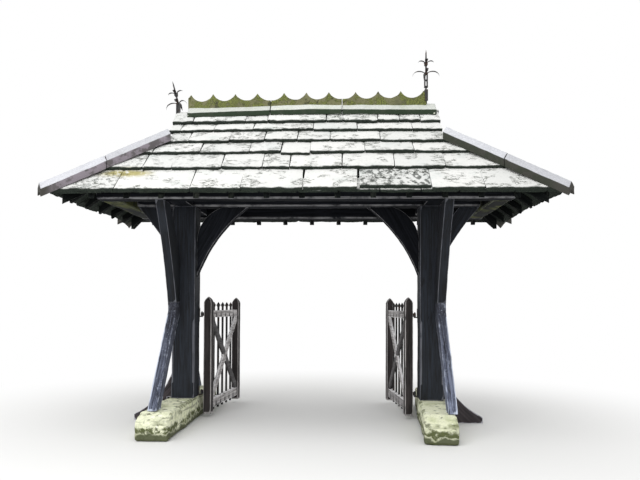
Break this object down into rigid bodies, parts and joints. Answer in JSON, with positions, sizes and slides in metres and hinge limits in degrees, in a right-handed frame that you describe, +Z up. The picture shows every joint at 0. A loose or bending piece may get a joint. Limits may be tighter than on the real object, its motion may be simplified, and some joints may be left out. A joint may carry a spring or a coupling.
{
  "type": "lychgate",
  "caption": "Open oak lychgate with curved braces, a hipped stone-slated roof with gablets, a toothed ridge crest, iron finials and hinged gates.",
  "frame": {"origin": "on the ground in the middle of the outline with the gates folded back, 55 mm behind the line of the posts", "axes": "+X to the right as seen from the road, +Y through the passage to the churchyard side, +Z up"},
  "size_m": [5.6136, 2.7032, 4.5566],
  "materials": {
    "sandstone": "weathered and mossy, matt",
    "dark_oak": "old tarred oak, matt",
    "weathered_oak": "bleached bare oak, matt",
    "gate_oak": "worn stained oak, matt",
    "stone_slates": "riven stone with lichen and moss, matt",
    "coping_stone": "sawn stone, weathered, matt",
    "mossy_stone": "stone under moss, matt",
    "wrought_iron": "black, lightly rusted"
  },
  "bodies": {
    "frame": {"plinth_stone_left": "sandstone", "plinth_stone_right": "sandstone", "post_left": "dark_oak", "post_right": "dark_oak", "raking_strut_front_left": "weathered_oak", "raking_strut_front_right": "weathered_oak", "raking_strut_back_left": "weathered_oak", "raking_strut_back_right": "weathered_oak", "sway_brace_front_left": "dark_oak", "sway_brace_front_right": "dark_oak", "sway_brace_back_left": "dark_oak", "sway_brace_back_right": "dark_oak", "inner_brace_left": "dark_oak", "inner_brace_right": "dark_oak", "outer_brace_left": "dark_oak", "outer_brace_right": "dark_oak", "side_spur_left": "weathered_oak", "side_spur_right": "weathered_oak", "centre_beam": "dark_oak", "cross_beam_left": "dark_oak", "cross_beam_right": "dark_oak", "front_plate": "dark_oak", "back_plate": "dark_oak", "end_plate_left": "dark_oak", "end_plate_right": "dark_oak", "common_rafters": "dark_oak", "jack_rafters": "dark_oak", "hip_rafters": "dark_oak", "end_rafters": "dark_oak", "collars": "dark_oak", "ridge_board": "dark_oak", "gablet_left": "dark_oak", "gablet_right": "dark_oak", "front_slates": "stone_slates", "back_slates": "stone_slates", "left_slates": "stone_slates", "right_slates": "stone_slates", "ridge_capping": "coping_stone", "ridge_cresting": "mossy_stone", "hip_copings": "coping_stone", "finial_left": "wrought_iron", "finial_right": "wrought_iron", "gate_pintles_left": "wrought_iron", "gate_pintles_right": "wrought_iron"},
    "left_gate": {"left_gate_stiles": "gate_oak", "left_gate_rails": "gate_oak", "left_gate_cross_brace": "gate_oak", "left_gate_bars": "wrought_iron", "left_gate_hinge_bands": "wrought_iron"},
    "right_gate": {"right_gate_stiles": "gate_oak", "right_gate_rails": "gate_oak", "right_gate_cross_brace": "gate_oak", "right_gate_bars": "wrought_iron", "right_gate_hinge_bands": "wrought_iron"}
  },
  "joints": [
    {"name": "left_gate_hinge", "type": "hinge", "parent": "frame", "child": "left_gate", "pos_m": [-1.325, 0.04472, 0], "axis": [0, 0, 1], "range_deg": [-83.5, 6.5]},
    {"name": "right_gate_hinge", "type": "hinge", "parent": "frame", "child": "right_gate", "pos_m": [1.325, 0.04472, 0], "axis": [0, 0, -1], "range_deg": [-83.5, 6.5]}
  ]
}
